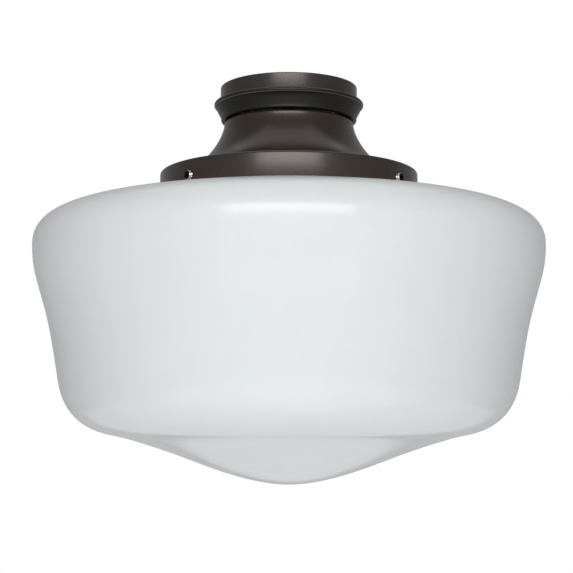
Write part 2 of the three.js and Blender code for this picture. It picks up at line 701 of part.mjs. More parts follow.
for (const { pole, side, look } of poles) {
  const y = side * connectorY;
  const lane = side * 1.35; // wires run side by side in the nipple
  const enter = connectorTop + TOUCH;
  addPiece(`wire_connector_${pole}`, makeConnector().translate(connectorX, y, connectorTop), PLASTIC_ORANGE);
  addPiece(`supply_lead_${pole}`, wire([
    [lane * 1.8, plugNear - TOUCH, plugCentre.z], [lane * 1.6, plugNear - 4, plugCentre.z + 1.0],
    [lane * 1.1, plugNear - 10, nippleTop + 3.0], [lane, 3.5, nippleTop + 4.4], [lane, 0.4, nippleTop + 1.5],
    [lane, 0, nippleTop - 4], [lane, 0, (nippleTop + nippleBottom) / 2], [lane, 0, nippleBottom + 2],
    [lane, side * 1.5, nippleBottom - 4], [lane, side * 9, nippleBottom - 5.5],
    [lane * 0.7, side * 16, connectorTop + 5.5],
    [0, side * (connectorY - 4.5), connectorTop + 6.2],
    [0, side * (connectorY - wireSpread), connectorTop + 3.2],
    [0, side * (connectorY - wireSpread), enter],
  ], 28), look);
  [-1, 1].forEach((end, i) => {
    const lateral = end * wireSpread;
    const startX = end * (socketOffset - (socketR + WIRE_R + TOUCH) * Math.SQRT1_2);
    const startY = side * (socketR + WIRE_R + TOUCH) * Math.SQRT1_2;
    addPiece(`socket_lead_${pole}_${i + 1}`, wire([
      [startX, startY, socketTop - 8], [startX, startY, socketTop - 3],
      [startX - end * 0.5, startY + side * 2, socketTop + 4], [end * 9, side * 21, connectorTop + 2],
      [end * 4.6, side * 25, connectorTop + 6.5],
      [lateral * 1.1, side * (connectorY + 1), connectorTop + 4.5],
      [lateral, side * (connectorY + 1), enter],
    ], 14), look);
  });
}

const plug = join(
  closed(new THREE.BoxGeometry(PLUG_SIZE.x, PLUG_SIZE.y, PLUG_SIZE.z)),
  closed(new THREE.BoxGeometry(PLUG_SIZE.x * 0.35, PLUG_SIZE.y * 0.5, PLUG_SIZE.z * 0.3)
    .translate(0, 0, PLUG_SIZE.z * 0.6)),
);
addPiece('fan_plug', plug.translate(plugCentre.x, plugCentre.y, plugCentre.z), NYLON);

export default kit;
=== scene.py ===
"""Looks of the ceiling fan's schoolhouse light kit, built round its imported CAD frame. Metres, +Z up.

Outlines are written in millimetres, as [radius, z] or [x, y], and scaled once when a mesh is made.
"""
import json
import math
import bmesh
import bpy
from mathutils import Matrix, Vector


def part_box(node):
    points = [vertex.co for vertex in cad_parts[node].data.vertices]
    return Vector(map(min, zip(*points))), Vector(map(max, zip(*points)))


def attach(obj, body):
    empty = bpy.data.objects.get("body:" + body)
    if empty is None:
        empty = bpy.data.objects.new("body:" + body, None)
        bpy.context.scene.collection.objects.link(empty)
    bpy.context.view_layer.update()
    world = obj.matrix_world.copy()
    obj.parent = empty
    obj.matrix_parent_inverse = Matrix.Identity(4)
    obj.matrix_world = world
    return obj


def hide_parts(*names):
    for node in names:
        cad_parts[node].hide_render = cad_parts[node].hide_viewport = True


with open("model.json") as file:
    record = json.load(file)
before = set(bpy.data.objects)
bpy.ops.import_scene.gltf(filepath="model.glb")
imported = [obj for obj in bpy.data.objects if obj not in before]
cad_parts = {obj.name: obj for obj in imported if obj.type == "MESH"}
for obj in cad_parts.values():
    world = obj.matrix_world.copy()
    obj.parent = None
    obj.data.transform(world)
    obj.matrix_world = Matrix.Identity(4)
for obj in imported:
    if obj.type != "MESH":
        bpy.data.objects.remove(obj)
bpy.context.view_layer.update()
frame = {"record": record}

MM = 0.001
TAU = 2 * math.pi
NODE_BODY = {n: body for body, nodes in frame["record"]["behaviour"]["bodies"].items() for n in nodes}
SMOOTH_ANGLE = math.radians(32)
FINE = 192  # facets round the big turned pieces
MEDIUM = 96
SMALL = 48
TOUCH = 0.3  # gap between neighbouring pieces
NIPPLE_HOLE_R = 5.2  # hole that the threaded nipple passes through
SOCKET_X = 27.0
SOCKET_SCREW_Y = 8.0
BASE_PITCH = 3.63  # thread of a medium screw base
SHIELD_BOLT_Y = 55.0


def low(node):
    """Lowest corner of a CAD node, in mm."""
    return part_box(node)[0] / MM


def high(node):
    """Highest corner of a CAD node, in mm."""
    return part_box(node)[1] / MM


# ---------- camera
CAMERA_PLACE = (-0.00145, -0.8295, -0.20815)
CAMERA_PITCH_DEG = 5.79
CAMERA_LENS = 85.0


def make_camera():
    camera = bpy.data.objects.new("camera", bpy.data.cameras.new("camera"))
    camera.data.lens = CAMERA_LENS
    camera.data.sensor_width = 36.0
    camera.location = CAMERA_PLACE
    camera.rotation_euler = (math.radians(90 + CAMERA_PITCH_DEG), 0, 0)
    bpy.context.scene.collection.objects.link(camera)
    bpy.context.scene.camera = camera


make_camera()


# ---------- outlines
def arc(r, z, radius, start_deg, end_deg, steps):
    """Points on an arc, angles from +R towards +Z."""
    points = []
    for i in range(steps + 1):
        angle = math.radians(start_deg + (end_deg - start_deg) * i / steps)
        points.append((r + radius * math.cos(angle), z + radius * math.sin(angle)))
    return points


def flowing(nodes, steps):
    """Smooth outline through (r, z, heading in degrees, handle before, handle after)."""
    points = []
    for start, end in zip(nodes, nodes[1:]):
        a, d = Vector(start[:2]), Vector(end[:2])
        b = a + start[4] * Vector((math.cos(math.radians(start[2])), math.sin(math.radians(start[2]))))
        c = d - end[3] * Vector((math.cos(math.radians(end[2])), math.sin(math.radians(end[2]))))
        for i in range(1 if points else 0, steps + 1):
            t = i / steps
            p = (1 - t) ** 3 * a + 3 * (1 - t) ** 2 * t * b + 3 * (1 - t) * t * t * c + t ** 3 * d
            points.append((p.x, p.y))
    return points


def offset(points, distance):
    """The outline moved sideways, to the right of its direction."""
    moved = []
    for i, (r, z) in enumerate(points):
        r0, z0 = points[max(i - 1, 0)]
        r1, z1 = points[min(i + 1, len(points) - 1)]
        length = math.hypot(r1 - r0, z1 - z0)
        moved.append((r + distance * (z1 - z0) / length, z - distance * (r1 - r0) / length))
    return moved


def offset_closed(outline, distance):
    """Closed outline moved inwards (anticlockwise outline) by the distance."""
    moved = []
    count = len(outline)
    for i in range(count):
        before, here, after = (Vector(outline[(i + k) % count]) for k in (-1, 0, 1))
        one, two = (here - before).normalized(), (after - here).normalized()
        normal = Vector((-one.y - two.y, one.x + two.x)).normalized()
        scale = max(0.5, normal.dot(Vector((-one.y, one.x))))
        moved.append(tuple(here + normal * distance / scale))
    return moved


def rounded(corners, steps=3):
    """Closed outline from corners (r, z, fillet), each fillet cut as an arc."""
    points = []
    count = len(corners)
    for i, (r, z, fillet) in enumerate(corners):
        here = Vector((r, z))
        before = Vector(corners[i - 1][:2]) - here
        after = Vector(corners[(i + 1) % count][:2]) - here
        if fillet <= 0 or before.length < 1e-6 or after.length < 1e-6:
            points.append((r, z))
            continue
        half = before.angle(after) / 2
        reach = min(fillet / math.tan(half), before.length * 0.49, after.length * 0.49)
        radius = reach * math.tan(half)
        start = here + before.normalized() * reach
        centre = here + (before.normalized() + after.normalized()).normalized() * (radius / math.sin(half))
        end = here + after.normalized() * reach
        a0 = math.atan2(*(start - centre).yx)
        turn = (math.atan2(*(end - centre).yx) - a0 + math.pi) % TAU - math.pi
        for step in range(steps + 1):
            angle = a0 + turn * step / steps
            points.append((centre.x + radius * math.cos(angle), centre.y + radius * math.sin(angle)))
    return points


def area(outline):
    """Signed area: positive when the outline runs anticlockwise."""
    return sum(x0 * y1 - x1 * y0 for (x0, y0), (x1, y1) in zip(outline, outline[1:] + outline[:1])) / 2


def circle(x, y, radius, count=MEDIUM):
    angles = [TAU * i / count for i in range(count)]
    return [(x + radius * math.cos(angle), y + radius * math.sin(angle)) for angle in angles]


# ---------- mesh building
class Build:
    """Vertices and faces of one piece, gathered in millimetres."""

    def __init__(self):
        self.points, self.faces, self.paint = [], [], []

    def add(self, points, faces, paint=0, matrix=None):
        first = len(self.points)
        for point in points:
            place = Vector(point)
            self.points.append(matrix @ place if matrix else place)
        self.faces += [tuple(first + i for i in face) for face in faces]
        self.paint += [paint] * len(faces)
        return self

    def spun(self, rings, facets, paint=0, matrix=None, closed=True):
        """Rings are (r, z) pairs or functions of the angle that give one. A ring at r = 0 is a pole."""
        points, rows, faces = [], [], []
        for item in rings:
            if not callable(item) and item[0] < 1e-6:
                rows.append([len(points)] * facets)
                points.append((0, 0, item[1]))
                continue
            rows.append(list(range(len(points), len(points) + facets)))
            for i in range(facets):
                angle = TAU * i / facets
                r, z = item(angle) if callable(item) else item
                points.append((r * math.cos(angle), r * math.sin(angle), z))
        pairs = list(zip(rows, rows[1:]))
        if closed:
            pairs.append((rows[-1], rows[0]))
        for a, b in pairs:
            for i in range(facets):
                j = (i + 1) % facets
                face = [a[i], a[j], b[j], b[i]]
                face = [v for k, v in enumerate(face) if v not in face[:k]]
                if len(face) > 2:
                    faces.append(tuple(face))
        return self.add(points, faces, paint, matrix)

    def prism(self, outline, low_z, high_z, edge=0.0, paint=0, matrix=None):
        """Straight prism on a closed outline, with chamfered edges top and bottom."""
        inner = offset_closed(outline, edge) if edge else outline
        levels = [(inner, low_z), (outline, low_z + edge), (outline, high_z - edge), (inner, high_z)]
        if not edge:
            levels = [(outline, low_z), (outline, high_z)]
        count = len(outline)
        points = [(x, y, z) for ring, z in levels for x, y in ring]
        faces = [tuple(reversed(range(count)))]
        for row in range(len(levels) - 1):
            for i in range(count):
                j = (i + 1) % count
                faces.append((row * count + i, row * count + j, (row + 1) * count + j, (row + 1) * count + i))
        faces.append(tuple(range(len(points) - count, len(points))))
        return self.add(points, faces, paint, matrix)

    def mesh(self, name):
        mesh = bpy.data.meshes.new(name)
        mesh.from_pydata([point * MM for point in self.points], [], self.faces)
        mesh.polygons.foreach_set("material_index", self.paint)
        mesh.update()
        return mesh


def piece(build, node, materials, name=None, replaced=True):
    """Puts a finished mesh in the scene, riding with its CAD node's body."""
    label = name or f"{node}_skin"
    mesh = build.mesh(label) if isinstance(build, Build) else build
    obj = bpy.data.objects.new(label, mesh)
    bpy.context.scene.collection.objects.link(obj)
    for material in materials:
        mesh.materials.append(material)
    tidy_normals(mesh)
    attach(obj, NODE_BODY[node])
    if replaced:
        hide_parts(node)
    return obj


def tidy_normals(mesh):
    """Merges doubled corners, turns faces outwards and shades all but the sharp edges smooth."""
    work = bmesh.new()
    work.from_mesh(mesh)
    bmesh.ops.remove_doubles(work, verts=work.verts, dist=1e-7)
    bmesh.ops.recalc_face_normals(work, faces=work.faces)
    work.to_mesh(mesh)
    work.free()
    mesh.polygons.foreach_set("use_smooth", [True] * len(mesh.polygons))
    mesh.set_sharp_from_angle(angle=SMOOTH_ANGLE)


def cut(obj, mesh, matrix=None):
    """Takes the closed mesh out of the piece."""
    tidy_normals(mesh)
    cutter = bpy.data.objects.new("cutter", mesh)
    if matrix:
        cutter.matrix_world = matrix
    bpy.context.scene.collection.objects.link(cutter)
    modifier = obj.modifiers.new("cut", "BOOLEAN")
    modifier.operation = "DIFFERENCE"
    modifier.solver = "EXACT"
    modifier.object = cutter
    bpy.context.view_layer.update()
    result = bpy.data.meshes.new_from_object(obj.evaluated_get(bpy.context.evaluated_depsgraph_get()))
    obj.modifiers.remove(modifier)
    obj.data = result
    bpy.data.objects.remove(cutter)


def drilled(obj, holes):
    """Cuts round holes: each is (matrix in metres, radius in mm, length in mm)."""
    for matrix, radius, length in holes:
        half = length / 2
        drill = Build().spun([(0, -half), (radius, -half), (radius, half), (0, half)], SMALL, closed=False)
        cut(obj, drill.mesh("cutter"), matrix)
    obj.data.set_sharp_from_angle(angle=SMOOTH_ANGLE)


def matrix_mm(matrix):
    """The same placement, with its shift in metres."""
    scaled = matrix.copy()
    scaled.translation = matrix.translation * MM
    return scaled


def thread_rings(root_r, crest_r, pitch, low_z, high_z, rows_per_turn=8, fade=1.0):
    """Rings of a right-handed screw thread, which fades out over `fade` turns at each end."""
    rows = max(2, int((high_z - low_z) / pitch * rows_per_turn))

    def ring(z):
        def at(angle):
            phase = (z / pitch - angle / TAU) % 1.0
            wave = 0.5 - 0.5 * math.cos(TAU * phase)
            ends = min(1.0, (z - low_z) / (pitch * fade), (high_z - z) / (pitch * fade))
            return root_r + (crest_r - root_r) * wave * max(0.0, ends), z
        return at

    return [ring(low_z + (high_z - low_z) * i / rows) for i in range(rows + 1)]


# ---------- materials
def new_material(name, color, metallic=0.0, roughness=0.5, **sockets):
    material = bpy.data.materials.new(name)
    material.use_nodes = True
    shader = material.node_tree.nodes["Principled BSDF"]
    shader.inputs["Base Color"].default_value = (*color, 1)
    shader.inputs["Metallic"].default_value = metallic
    shader.inputs["Roughness"].default_value = roughness
    for socket, value in sockets.items():
        shader.inputs[socket.replace("_", " ")].default_value = value
    return material, material.node_tree, shader


def coordinates(tree, scale=(1, 1, 1)):
    """Object coordinates in metres, stretched."""
    source = tree.nodes.new("ShaderNodeTexCoord")
    mapping = tree.nodes.new("ShaderNodeMapping")
    mapping.inputs["Scale"].default_value = scale
    tree.links.new(source.outputs["Object"], mapping.inputs["Vector"])
    return mapping.outputs["Vector"]


def noise(tree, scale, detail=3.0, rough=0.5, stretch=(1, 1, 1), distortion=0.0):
    node = tree.nodes.new("ShaderNodeTexNoise")
    node.inputs["Scale"].default_value = scale
    node.inputs["Detail"].default_value = detail
    node.inputs["Roughness"].default_value = rough
    node.inputs["Distortion"].default_value = distortion
    tree.links.new(coordinates(tree, stretch), node.inputs["Vector"])
    return node.outputs["Fac"]


def math_node(tree, operation, *values):
    node = tree.nodes.new("ShaderNodeMath")
    node.operation = operation
    for i, value in enumerate(values):
        if isinstance(value, (int, float)):
            node.inputs[i].default_value = value
        else:
            tree.links.new(value, node.inputs[i])
    return node.outputs[0]


def ramp(tree, fac, stops):
    node = tree.nodes.new("ShaderNodeValToRGB")
    while len(node.color_ramp.elements) < len(stops):
        node.color_ramp.elements.new(0.5)
    for element, (position, color) in zip(node.color_ramp.elements, stops):
        element.position = position
        element.color = (*color, 1)
    tree.links.new(fac, node.inputs["Fac"])
    return node.outputs["Color"]


def span(tree, fac, low_value, high_value, fac_low=0.3, fac_high=0.7):
    """Map a noise onto a range of values."""
    node = tree.nodes.new("ShaderNodeMapRange")
    limits = {"From Min": fac_low, "From Max": fac_high, "To Min": low_value, "To Max": high_value}
    for socket, value in limits.items():
        node.inputs[socket].default_value = value
    tree.links.new(fac, node.inputs["Value"])
    return node.outputs["Result"]


def mix(tree, fac, one, two):
    node = tree.nodes.new("ShaderNodeMix")
    node.data_type = "RGBA"
    for socket, value in ((node.inputs["Factor"], fac), (node.inputs[6], one), (node.inputs[7], two)):
        if isinstance(value, tuple):
            socket.default_value = (*value, 1)
        elif isinstance(value, (int, float)):
            socket.default_value = value
        else:
            tree.links.new(value, socket)
    return node.outputs[2]


def bump(tree, shader, heights):
    """Stacked bumps: (height output, depth in metres)."""
    normal = None
    for height, depth in heights:
        node = tree.nodes.new("ShaderNodeBump")
        node.inputs["Strength"].default_value = 1.0
        node.inputs["Distance"].default_value = depth
        tree.links.new(height, node.inputs["Height"])
        if normal:
            tree.links.new(normal, node.inputs["Normal"])
        normal = node.outputs["Normal"]
    tree.links.new(normal, shader.inputs["Normal"])


def axis_distance(tree):
    source = tree.nodes.new("ShaderNodeTexCoord")
    parts = tree.nodes.new("ShaderNodeSeparateXYZ")
    tree.links.new(source.outputs["Object"], parts.inputs["Vector"])
    square = math_node(tree, "ADD", math_node(tree, "MULTIPLY", parts.outputs["X"], parts.outputs["X"]),
                       math_node(tree, "MULTIPLY", parts.outputs["Y"], parts.outputs["Y"]))
    return math_node(tree, "SQRT", square), parts.outputs["Z"]


def lathe_lines(tree, scale, detail=2.0):
    radius, level = axis_distance(tree)
    place = tree.nodes.new("ShaderNodeCombineXYZ")
    tree.links.new(radius, place.inputs["X"])
    tree.links.new(level, place.inputs["Y"])
    node = tree.nodes.new("ShaderNodeTexNoise")
    node.inputs["Scale"].default_value = scale
    node.inputs["Detail"].default_value = detail
    tree.links.new(place.outputs["Vector"], node.inputs["Vector"])
    return node.outputs["Fac"]


def bronze_material(name, dark, light, fleck, rough_low, rough_high, gloss):
    """Dark oil-rubbed bronze finish: satin brown coat, fine flake, faint spinning rings."""
    material, tree, shader = new_material(name, light, 0.0, rough_low, Specular_IOR_Level=gloss,
                                          Specular_Tint=(1.0, 0.93, 0.89, 1), Coat_Weight=gloss * 0.25,
                                          Coat_Roughness=0.22)
    clouds = noise(tree, 22, 4)
    flakes = noise(tree, 2600, 2, 0.6)
    brown = ramp(tree, clouds, [(0.3, dark), (0.7, light)])
    flaked = mix(tree, span(tree, flakes, 0.0, 0.5, 0.58, 0.74), brown, fleck)
    tree.links.new(flaked, shader.inputs["Base Color"])
    rough = math_node(tree, "ADD", span(tree, clouds, rough_low, rough_high), span(tree, flakes, -0.02, 0.04))
    tree.links.new(rough, shader.inputs["Roughness"])
    bump(tree, shader, [(lathe_lines(tree, 900), 0.000008), (flakes, 0.000010)])
    return material


def opal_material():
    """Opal white glass: glossy skin, slightly uneven, faintly cloudy body."""
    material, tree, shader = new_material("opal_glass", (0.92, 0.93, 0.94), 0.0, 0.1, IOR=1.46,
                                          Subsurface_Weight=0.2, Subsurface_Scale=0.004)
    clouds = noise(tree, 9, 3)
    wisps = noise(tree, 45, 4, 0.6, (1, 1, 0.35), 0.6)
    body = ramp(tree, clouds, [(0.25, (0.845, 0.872, 0.882)), (0.75, (0.89, 0.905, 0.912))])
    body = mix(tree, span(tree, wisps, 0.0, 0.35, 0.45, 0.75), body, (0.83, 0.865, 0.878))
    tree.links.new(body, shader.inputs["Base Color"])
    tree.links.new(span(tree, wisps, 0.13, 0.19), shader.inputs["Roughness"])
    bump(tree, shader, [(noise(tree, 14, 1), 0.0004), (noise(tree, 60, 2), 0.00004)])
    return material


def metal_material(name, dark, light, roughness=0.3, metallic=1.0, scratch=(1, 1, 1), grain=900, depth=0.00001):
    """Bare or plated metal: cloudy tone, fine directional grain, uneven polish."""
    material, tree, shader = new_material(name, light, metallic, roughness)
    clouds = noise(tree, 70, 4)
    lines = noise(tree, grain, 3, 0.6, scratch)
    tone = ramp(tree, clouds, [(0.3, dark), (0.7, light)])
    tree.links.new(mix(tree, span(tree, lines, 0.0, 0.4, 0.55, 0.8), tone, dark), shader.inputs["Base Color"])
    rough = math_node(tree, "ADD", span(tree, clouds, roughness * 0.8, roughness * 1.2),
                      span(tree, lines, -0.03, 0.06))
    tree.links.new(rough, shader.inputs["Roughness"])
    bump(tree, shader, [(lines, depth)])
    return material


def moulded_material(name, dark, light, roughness, grain=1500, depth=0.00001, **sockets):
    """Moulded or cast non-metal: slight mottling and a fine surface grain."""
    material, tree, shader = new_material(name, light, 0.0, roughness, **sockets)
    clouds = noise(tree, 60, 4)
    grains = noise(tree, grain, 2)
    tree.links.new(ramp(tree, clouds, [(0.3, dark), (0.7, light)]), shader.inputs["Base Color"])
    tree.links.new(span(tree, grains, roughness * 0.85, roughness * 1.15), shader.inputs["Roughness"])
    bump(tree, shader, [(grains, depth), (clouds, depth * 4)])
    return material


BRONZE = bronze_material("bronze", (0.023, 0.014, 0.009), (0.031, 0.020, 0.013), (0.07, 0.052, 0.040),
                         0.25, 0.30, 0.75)
# Darker copy of the bronze: painted shade on the collar's top rim and on the lip under its bead; the collar's
# skirt and inside are darker bronze too.
DARK_BRONZE = bronze_material("dark_bronze", (0.008, 0.0078, 0.005), (0.012, 0.0115, 0.0075),
                              (0.03, 0.029, 0.022), 0.34, 0.40, 0.4)
# Lighter copy of the bronze: a painted highlight along the lower edge of the collar's bead.
HIGHLIGHT_BRONZE = bronze_material("painted_highlight_bronze", (0.10, 0.098, 0.08), (0.15, 0.147, 0.12), (0.22, 0.21, 0.18),
                              0.30, 0.36, 0.75)
OPAL = opal_material()
ZINC = metal_material("zinc_steel", (0.40, 0.41, 0.42), (0.62, 0.63, 0.65), 0.34, scratch=(1, 0.12, 1))
BRIGHT = metal_material("bright_steel", (0.58, 0.58, 0.57), (0.80, 0.80, 0.79), 0.22)
# Black: the bulb bases' insulator, and painted shade on the clamp screws' end faces and hex recesses.
BLACK_AND_SHADE = metal_material("black_steel", (0.008, 0.008, 0.008), (0.02, 0.019, 0.018), 0.4, 0.7)
BRASS = metal_material("brass", (0.48, 0.33, 0.12), (0.72, 0.53, 0.24), 0.28)
NICKEL = metal_material("nickel", (0.52, 0.50, 0.46), (0.74, 0.72, 0.68), 0.26, scratch=(0.15, 0.15, 1))
ALUMINIUM = metal_material("aluminium", (0.62, 0.63, 0.64), (0.82, 0.83, 0.84), 0.3, scratch=(0.08, 1, 1),
                           grain=700)
PORCELAIN = moulded_material("porcelain", (0.76, 0.74, 0.68), (0.86, 0.85, 0.80), 0.16, 400, 0.00002,
                             Coat_Weight=0.6)
DIFFUSER = moulded_material("frosted_diffuser", (0.85, 0.84, 0.80), (0.92, 0.91, 0.88), 0.42, 2200, 0.000008,
                            Subsurface_Weight=0.3, Subsurface_Scale=0.006)
RUBBER = moulded_material("rubber", (0.012, 0.012, 0.012), (0.028, 0.027, 0.026), 0.75, 1200, 0.00004)
NYLON = moulded_material("nylon", (0.72, 0.70, 0.63), (0.84, 0.82, 0.76), 0.42, 1400, 0.00001,
                         Subsurface_Weight=0.2, Subsurface_Scale=0.003)
ORANGE = moulded_material("orange_plastic", (0.55, 0.13, 0.015), (0.74, 0.21, 0.03), 0.4, 1300, 0.00002)
BLACK_WIRE = moulded_material("black_insulation", (0.008, 0.008, 0.009), (0.02, 0.02, 0.021), 0.38, 1800,
                              0.000015)
WHITE_WIRE = moulded_material("white_insulation", (0.72, 0.72, 0.68), (0.84, 0.84, 0.80), 0.38, 1800,
                              0.000015)
COPPER = metal_material("copper", (0.55, 0.24, 0.12), (0.85, 0.42, 0.24), 0.3)


# ---------- collar and mounting plate
COLLAR_R = 42.5
COLLAR_BORE_R = 41.0
BAND_END = -9.4
BEAD_R = 46.5
BEAD_ROUND = 1.6
CONE_R = 45.3
CONE_TOP = -12.8
CONE_BOTTOM = -18.9
SKIRT_R = 42.2
SKIRT_WALL = 3.7
LEDGE_R = 33.0
LEDGE_TOP = -14.9
LEDGE_UNDER = -16.3
PLATE_SCREW_ANGLES = (60, 180, 300)
PLATE_SCREW_CIRCLE_R = (LEDGE_R + COLLAR_BORE_R) / 2
PLATE_SCREW_HOLE_R = 2.0


def on_circle(radius, angles_deg):
    return [(radius * math.cos(math.radians(a)), radius * math.sin(math.radians(a))) for a in angles_deg]


PLATE_SCREW_PLACES = on_circle(PLATE_SCREW_CIRCLE_R, PLATE_SCREW_ANGLES)


def make_collar():
    bottom = low("mounting_collar").z
    bead_z = BAND_END - BEAD_ROUND
    # the top rim is painted darker, as shade
    rim = arc(COLLAR_BORE_R + 0.4, -0.4, 0.4, 180, 90, 4) + arc(COLLAR_R - 0.5, -0.5, 0.5, 90, 25, 5)
    band = (
        arc(COLLAR_R - 0.5, -0.5, 0.5, 25, 0, 3)
        + arc(COLLAR_R + 0.3, BAND_END + 0.3, 0.3, 180, 270, 3)
        + arc(BEAD_R - BEAD_ROUND, bead_z, BEAD_ROUND, 88, 20, 8)
    )
    # the lip under the bead is painted darker, as shade
    lip = arc(BEAD_R - BEAD_ROUND, bead_z, BEAD_ROUND, 20, -35, 6)
    # the bead's lower edge is painted lighter, as a highlight
    lip_edge = arc(BEAD_R - BEAD_ROUND, bead_z, BEAD_ROUND, -35, -55, 3)
    skirt = (
        [lip_edge[-1], (CONE_R, CONE_TOP), (SKIRT_R, CONE_BOTTOM)]
        + arc(SKIRT_R - 1.0, bottom + 1.0, 1.0, 0, -90, 6)
        + arc(SKIRT_R - SKIRT_WALL + 0.4, bottom + 0.4, 0.4, -90, -180, 3)
        + [(SKIRT_R - SKIRT_WALL, LEDGE_UNDER)]
    )
    ledge = (
        [(SKIRT_R - SKIRT_WALL, LEDGE_UNDER)]
        + arc(LEDGE_R + 0.3, LEDGE_UNDER + 0.3, 0.3, -90, -180, 3)
        + arc(LEDGE_R + 0.3, LEDGE_TOP - 0.3, 0.3, 180, 90, 3)
        + [(COLLAR_BORE_R, LEDGE_TOP), (COLLAR_BORE_R, -0.4)]
    )
    build = Build()
    # Paint 1 is painted shade on the rim and the lip, and darker bronze on the skirt and inside; paint 2 is a
    # painted highlight on the bead's lower edge.
    for paint, outline in ((0, band), (1, rim), (1, lip), (2, lip_edge), (1, skirt), (1, ledge)):
        build.spun(outline, FINE, paint, closed=False)
    obj = piece(build, "mounting_collar", [BRONZE, DARK_BRONZE, HIGHLIGHT_BRONZE])
    drilled(obj, [(Matrix.Translation((x * MM, y * MM, LEDGE_TOP * MM)), PLATE_SCREW_HOLE_R, 6)
                  for x, y in PLATE_SCREW_PLACES])


def flat_sheet(name, outlines, low_z, high_z, edge):
    """Flat sheet with softened edges from closed outlines: the first is the rim, the rest are holes."""
    curve = bpy.data.curves.new(name, "CURVE")
    curve.dimensions = "2D"
    curve.fill_mode = "BOTH"
    curve.extrude = ((high_z - low_z) / 2 - edge) * MM
    curve.bevel_depth = edge * MM
    curve.bevel_resolution = 2
    curve.offset = -edge * MM
    for outline in outlines:
        spline = curve.splines.new("POLY")
        spline.points.add(len(outline) - 1)
        for point, (x, y) in zip(spline.points, outline):
            point.co = (x * MM, y * MM, 0, 1)
        spline.use_cyclic_u = True
    maker = bpy.data.objects.new(name, curve)
    bpy.context.scene.collection.objects.link(maker)
    bpy.context.view_layer.update()
    mesh = bpy.data.meshes.new_from_object(maker.evaluated_get(bpy.context.evaluated_depsgraph_get()))
    mesh.transform(Matrix.Translation((0, 0, (low_z + high_z) / 2 * MM)))
    bpy.data.objects.remove(maker)
    mesh.materials.clear()
    return mesh


def keyhole(turn_deg):
    """Round head with a slot running off it, as the mounting plate's screws need."""
    centre_r, head_r, slot_r, length = 25.0, 4.2, 2.2, 8.0
    lift = math.degrees(math.acos(slot_r / head_r))
    outline = arc(0, 0, head_r, 180 - lift, 360 + lift, 28) + arc(0, length, slot_r, 0, 180, 12)
    turn = math.radians(turn_deg)
    sine, cosine = math.sin(turn), math.cos(turn)
    return [((x + centre_r) * cosine - y * sine, (x + centre_r) * sine + y * cosine) for x, y in outline]


def make_plate():
    outlines = [circle(0, 0, high("mounting_plate").x, FINE), circle(0, 0, NIPPLE_HOLE_R)]
    outlines += [circle(x, y, PLATE_SCREW_HOLE_R, SMALL) for x, y in PLATE_SCREW_PLACES]
    outlines += [keyhole(turn) for turn in (0, 120, 240)]
    mesh = flat_sheet("mounting_plate_skin", outlines, low("mounting_plate").z, high("mounting_plate").z, 0.18)
    piece(mesh, "mounting_plate", [ZINC])


# ---------- fitter pan
NECK_R = 40.2
FLARE_R = 72.0
CUP_R = 79.6
PAN_WALL = 1.2
CLAMP_SCREW_R = 3.0
CLAMP_DROP = 9.9  # flange's top face to the clamp screws' axes
FLANGE_TOP = low("clamp_screw_1").z + CLAMP_SCREW_R + CLAMP_DROP
CLAMP_LEVEL = FLANGE_TOP - CLAMP_DROP
CLAMP_ANGLES = (-137.0, -35.6, 93.7)


def neck_outline():
    top = high("fitter_pan").z
    return arc(NECK_R - 1.5, top - 1.5, 1.5, 90, 0, 6) + flowing(
        [(NECK_R, top - 1.5, -90, 0, 7.5), (FLARE_R, FLANGE_TOP, 0, 19.7, 0)], 40)[1:]


def make_pan():
    top = high("fitter_pan").z
    bottom = low("fitter_pan").z
    neck = neck_outline()
    outline = (
        [(NIPPLE_HOLE_R, top)] + neck
        + arc(CUP_R - 1.5, FLANGE_TOP - 1.5, 1.5, 90, 0, 8)
        + arc(CUP_R - 0.4, bottom + 0.4, 0.4, 0, -90, 3)
        + arc(CUP_R - PAN_WALL + 0.4, bottom + 0.4, 0.4, -90, -180, 3)
        + arc(CUP_R - PAN_WALL - 0.6, FLANGE_TOP - PAN_WALL - 0.6, 0.6, 0, 90, 4)
        + offset(neck, PAN_WALL)[::-1]
        + [(NIPPLE_HOLE_R, top - PAN_WALL)]
    )
    obj = piece(Build().spun(outline, FINE), "fitter_pan", [BRONZE])
    outwards = Matrix.Translation((CUP_R * MM, 0, CLAMP_LEVEL * MM)) @ Matrix.Rotation(math.pi / 2, 4, "Y")
    drilled(obj, [(Matrix.Rotation(math.radians(angle), 4, "Z") @ outwards, CLAMP_SCREW_R + TOUCH, 6)
                  for angle in CLAMP_ANGLES])


# ---------- nipple, nuts and washers
def make_nipple():
    bottom, top = low("threaded_nipple").z, high("threaded_nipple").z
    bore_r, root_r, crest_r, pitch = 3.5, 4.35, 4.9, 0.94
    rings = [(bore_r, top - 0.3), (bore_r + 0.3, top), (root_r, top)]
    rings += reversed(thread_rings(root_r, crest_r, pitch, bottom + 0.1, top - 0.1))
    rings += [(root_r, bottom), (bore_r + 0.3, bottom), (bore_r, bottom + 0.3)]
    piece(Build().spun(rings, MEDIUM), "threaded_nipple", [ZINC])


def hex_radius(flats, angle):
    return flats / 2 / math.cos((angle + math.pi / 6) % (math.pi / 3) - math.pi / 6)


def make_nut(node):
    bottom, top = low(node).z, high(node).z
    flats = 15.0  # across flats
    face_r = flats / 2 * 0.985
    slope = math.tan(math.radians(30))

    def corner(level, sign):
        def at(angle):
            r = hex_radius(flats, angle)
            return r, level - sign * max(0.0, r - face_r) * slope
        return at

    sink = 0.5  # countersink at each end of the hole
    rings = [
        (NIPPLE_HOLE_R, bottom + sink), (NIPPLE_HOLE_R + sink, bottom), (face_r, bottom), corner(bottom, -1),
        corner(top, 1), (face_r, top), (NIPPLE_HOLE_R + sink, top), (NIPPLE_HOLE_R, top - sink),
    ]
    piece(Build().spun(rings, MEDIUM), node, [BRASS])


